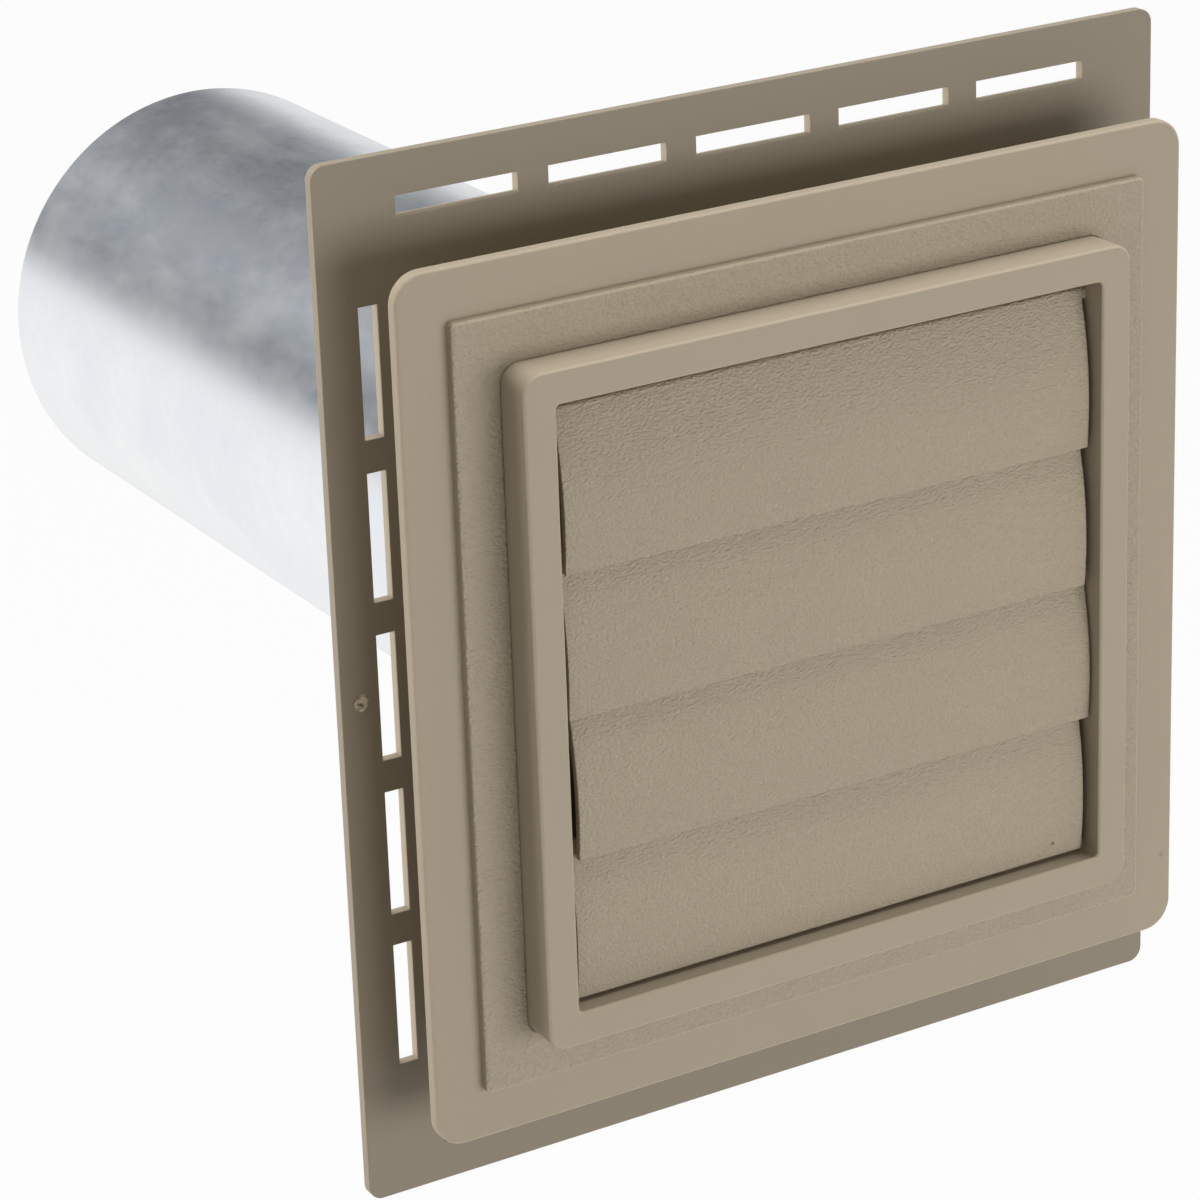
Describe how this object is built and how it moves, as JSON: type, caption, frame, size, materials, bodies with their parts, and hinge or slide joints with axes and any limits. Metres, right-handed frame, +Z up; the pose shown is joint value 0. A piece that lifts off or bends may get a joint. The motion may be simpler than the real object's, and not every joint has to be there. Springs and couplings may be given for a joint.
{
  "type": "louvered exhaust vent",
  "caption": "Square louvered wall exhaust vent: slotted nailing flange, sliding trim ring for the siding, hinged gravity louvers in a raised bezel, and a round tail pipe behind.",
  "frame": {"origin": "the duct's axis at the wall, in the plane of the flange's back face", "axes": "+Z up, the louvers face -Y, the tail pipe runs into the wall along +Y"},
  "size_m": [0.1906, 0.2815, 0.2126],
  "materials": {
    "vent_plastic": "satin taupe moulding, louvers and ring step lightly grained",
    "pipe_steel": "zinc coated, soft spangle"
  },
  "bodies": {
    "base": {"mounting_base": "vent_plastic", "tail_pipe": "pipe_steel"},
    "ring": {"trim_ring": "vent_plastic"},
    "louver_1": {"louver_1": "vent_plastic"},
    "louver_2": {"louver_2": "vent_plastic"},
    "louver_3": {"louver_3": "vent_plastic"},
    "louver_4": {"louver_4": "vent_plastic"}
  },
  "joints": [
    {"name": "ring_slide", "type": "slide", "parent": "base", "child": "ring", "axis": [0, -1, 0], "range_m": [-0.005, 0.015]},
    {"name": "louver_1_hinge", "type": "hinge", "parent": "base", "child": "louver_1", "pos_m": [0, -0.0242, 0.0583], "axis": [-1, 0, 0], "range_deg": [0, 80]},
    {"name": "louver_2_hinge", "type": "hinge", "parent": "base", "child": "louver_2", "pos_m": [0, -0.0242, 0.02895], "axis": [-1, 0, 0], "range_deg": [0, 80]},
    {"name": "louver_3_hinge", "type": "hinge", "parent": "base", "child": "louver_3", "pos_m": [0, -0.0242, -0.0004], "axis": [-1, 0, 0], "range_deg": [0, 80]},
    {"name": "louver_4_hinge", "type": "hinge", "parent": "base", "child": "louver_4", "pos_m": [0, -0.0242, -0.02975], "axis": [-1, 0, 0], "range_deg": [0, 80]}
  ],
  "couplings": [
    {"joint": "louver_2_hinge", "follows": "louver_1_hinge", "ratio": 1},
    {"joint": "louver_3_hinge", "follows": "louver_1_hinge", "ratio": 1},
    {"joint": "louver_4_hinge", "follows": "louver_1_hinge", "ratio": 1}
  ]
}
